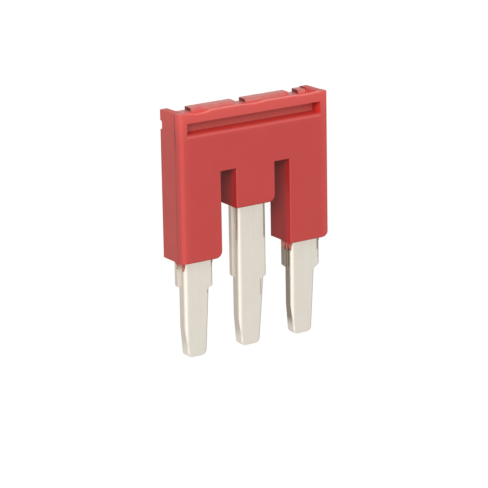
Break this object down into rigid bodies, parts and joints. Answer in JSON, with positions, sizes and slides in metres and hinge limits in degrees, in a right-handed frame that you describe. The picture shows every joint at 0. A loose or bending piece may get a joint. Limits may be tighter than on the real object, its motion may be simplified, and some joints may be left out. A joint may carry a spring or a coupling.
{
  "type": "terminal block jumper bar",
  "caption": "Plug-in jumper that bridges neighbouring terminal blocks: flat moulded insulating comb with a shorter middle leg, holding stamped, tapered contact blades.",
  "frame": {"origin": "middle of the outline seen from the front, on the plane of the back face", "axes": "+X along the row of poles, +Y from the blade tips to the grip, +Z out of the front face; the jumper lies on its back"},
  "size_m": [0.0142, 0.0206, 0.003],
  "materials": {
    "housing_plastic": "fine moulded satin",
    "contact_metal": "tin plated, satin"
  },
  "bodies": {
    "root": {"housing": "housing_plastic", "contact_comb_front": "contact_metal", "contact_comb_rear": "contact_metal"}
  },
  "joints": []
}
